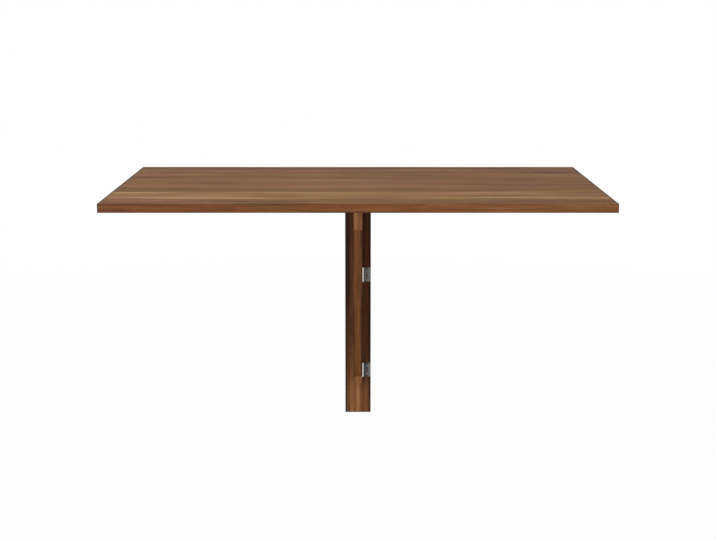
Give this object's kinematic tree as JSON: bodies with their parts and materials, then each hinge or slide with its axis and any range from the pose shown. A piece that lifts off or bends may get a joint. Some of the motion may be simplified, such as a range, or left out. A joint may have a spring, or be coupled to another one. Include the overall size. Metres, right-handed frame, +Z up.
{
  "type": "wall mounted drop leaf table",
  "caption": "Wall mounted table in dark walnut finish: a hinged leaf held level by a triangular support that swings out from a post on the wall.",
  "frame": {"origin": "on the wall plane, midway along the wall rail, on the centre line of its wall screws", "axes": "+X along the wall to the viewer's right, -Y out of the wall into the room, +Z up"},
  "size_m": [1, 0.6, 0.586],
  "materials": {
    "walnut_board": "matt walnut foil on particle board",
    "walnut_edge": "matt walnut edge band",
    "beech": "plain beech",
    "hinge_steel": "plated steel, satin",
    "pin_steel": "drawn steel",
    "screw_steel": "zinc plated",
    "cam_zinc": "die-cast zinc",
    "nylon": "moulded nylon"
  },
  "bodies": {
    "wall_frame": {"far_left_leaf_hinge_ledge_plate": "hinge_steel", "far_left_leaf_hinge_pin": "pin_steel", "far_right_leaf_hinge_ledge_plate": "hinge_steel", "far_right_leaf_hinge_pin": "pin_steel", "leaf_hinge_ledge_screws": "screw_steel", "ledge_cam_bolts": "screw_steel", "ledge_cam_locks": "cam_zinc", "ledge_dowels": "beech", "ledge_front_band": "walnut_edge", "ledge_left_band": "walnut_edge", "ledge_panel": "walnut_board", "ledge_right_band": "walnut_edge", "lower_support_hinge_pin": "pin_steel", "lower_support_hinge_wall_leaf": "hinge_steel", "mid_left_leaf_hinge_ledge_plate": "hinge_steel", "mid_left_leaf_hinge_pin": "pin_steel", "mid_right_leaf_hinge_ledge_plate": "hinge_steel", "mid_right_leaf_hinge_pin": "pin_steel", "post_bottom_band": "walnut_edge", "post_cam_bolts": "screw_steel", "post_cam_locks": "cam_zinc", "post_dowel": "beech", "post_left_band": "walnut_edge", "post_right_band": "walnut_edge", "rail_bottom_band": "walnut_edge", "rail_left_band": "walnut_edge", "rail_right_band": "walnut_edge", "support_hinge_wall_screws": "screw_steel", "upper_support_hinge_pin": "pin_steel", "upper_support_hinge_wall_leaf": "hinge_steel", "wall_post": "walnut_board", "wall_rail": "walnut_board"},
    "support": {"glide_block": "nylon", "glide_screws": "screw_steel", "lower_support_hinge_swing_leaf": "hinge_steel", "support_back_band": "walnut_edge", "support_foot_band": "walnut_edge", "support_hinge_swing_screws": "screw_steel", "support_panel": "walnut_board", "support_slope_band": "walnut_edge", "support_tip_band": "walnut_edge", "support_top_band": "walnut_edge", "upper_support_hinge_swing_leaf": "hinge_steel"},
    "leaf": {"far_left_leaf_hinge_leaf_plate": "hinge_steel", "far_right_leaf_hinge_leaf_plate": "hinge_steel", "leaf_back_band": "walnut_edge", "leaf_front_band": "walnut_edge", "leaf_hinge_leaf_screws": "screw_steel", "leaf_left_band": "walnut_edge", "leaf_panel": "walnut_board", "leaf_right_band": "walnut_edge", "mid_left_leaf_hinge_leaf_plate": "hinge_steel", "mid_right_leaf_hinge_leaf_plate": "hinge_steel"}
  },
  "joints": [
    {"name": "support_swing", "type": "hinge", "parent": "wall_frame", "child": "support", "pos_m": [0.0112, -0.0202, -0.2], "axis": [0, 0, 1], "range_deg": [0, 90]},
    {"name": "leaf_hinge", "type": "hinge", "parent": "wall_frame", "child": "leaf", "pos_m": [0, -0.046, 0.0272], "axis": [1, 0, 0], "range_deg": [-4, 0]}
  ]
}
